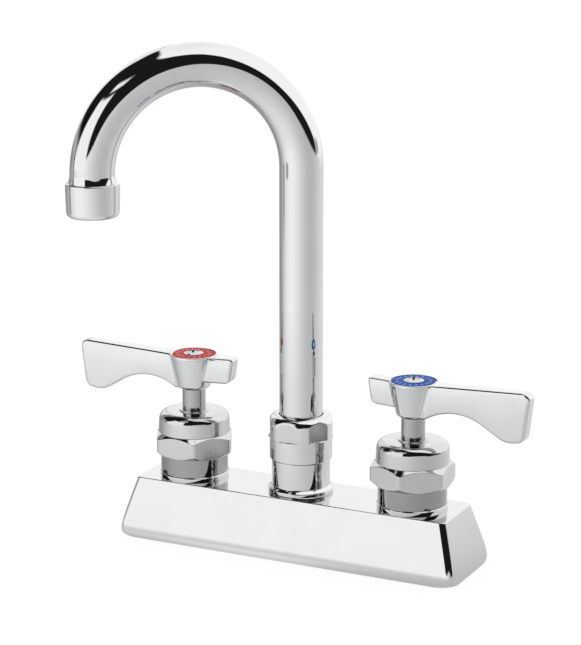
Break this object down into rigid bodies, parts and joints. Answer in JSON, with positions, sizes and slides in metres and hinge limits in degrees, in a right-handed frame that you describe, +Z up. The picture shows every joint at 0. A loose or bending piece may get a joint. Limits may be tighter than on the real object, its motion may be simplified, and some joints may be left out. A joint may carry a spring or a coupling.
{
  "type": "deck-mount gooseneck faucet",
  "caption": "Deck-mount kitchen faucet with hot and cold lever valves, a swivelling gooseneck spout with an aerator, and threaded inlet shanks with washers and lock nuts.",
  "frame": {"origin": "on the deck under the spout's swivel axis, halfway between the two valves", "axes": "+X along the base to the cold side, +Y to the back, away from the user, +Z up from the deck"},
  "size_m": [0.2064, 0.089, 0.2627],
  "materials": {
    "chrome": "polished chrome plating",
    "chrome_stem": "turned and polished",
    "chrome_screw": "plated, slightly worn",
    "red_enamel": "glossy red",
    "blue_enamel": "glossy blue",
    "brass": "machined",
    "steel": "stamped stainless",
    "rubber": "moulded black",
    "fibre": "pressed fibre",
    "ceramic": "lapped ceramic",
    "white_plastic": "moulded"
  },
  "bodies": {
    "faucet_body": {"body_casting": "chrome", "deck_gasket": "rubber", "hot_inlet_shank": "brass", "hot_shank_washer": "steel", "hot_locknut": "brass", "hot_bonnet": "chrome", "hot_bonnet_washer": "fibre", "hot_cartridge_housing": "brass", "hot_housing_o_ring": "rubber", "hot_fixed_disc": "ceramic", "hot_seat_seal": "rubber", "cold_inlet_shank": "brass", "cold_shank_washer": "steel", "cold_locknut": "brass", "cold_bonnet": "chrome", "cold_bonnet_washer": "fibre", "cold_cartridge_housing": "brass", "cold_housing_o_ring": "rubber", "cold_fixed_disc": "ceramic", "cold_seat_seal": "rubber", "spout_nut": "chrome", "spout_washer": "white_plastic"},
    "hot_lever": {"hot_handle": "chrome", "hot_index_ring": "red_enamel", "hot_handle_screw": "chrome_screw", "hot_stem": "chrome_stem", "hot_stem_o_rings": "rubber", "hot_stem_clip": "steel", "hot_turning_disc": "ceramic"},
    "cold_lever": {"cold_handle": "chrome", "cold_index_ring": "blue_enamel", "cold_handle_screw": "chrome_screw", "cold_stem": "chrome_stem", "cold_stem_o_rings": "rubber", "cold_stem_clip": "steel", "cold_turning_disc": "ceramic"},
    "spout": {"spout_tube": "chrome", "swivel_spigot": "brass", "swivel_o_rings": "rubber", "aerator_housing": "chrome", "aerator_insert": "white_plastic", "aerator_screen": "steel", "aerator_gasket": "rubber"}
  },
  "joints": [
    {"name": "hot_handle_turn", "type": "hinge", "parent": "faucet_body", "child": "hot_lever", "pos_m": [-0.0508, 0, 0.0624], "axis": [0, 0, 1], "range_deg": [0, 90]},
    {"name": "cold_handle_turn", "type": "hinge", "parent": "faucet_body", "child": "cold_lever", "pos_m": [0.0508, 0, 0.0624], "axis": [0, 0, 1], "range_deg": [-90, 0]},
    {"name": "spout_swivel", "type": "hinge", "parent": "faucet_body", "child": "spout", "pos_m": [0, 0, 0.05], "axis": [0, 0, 1], "continuous": true}
  ]
}
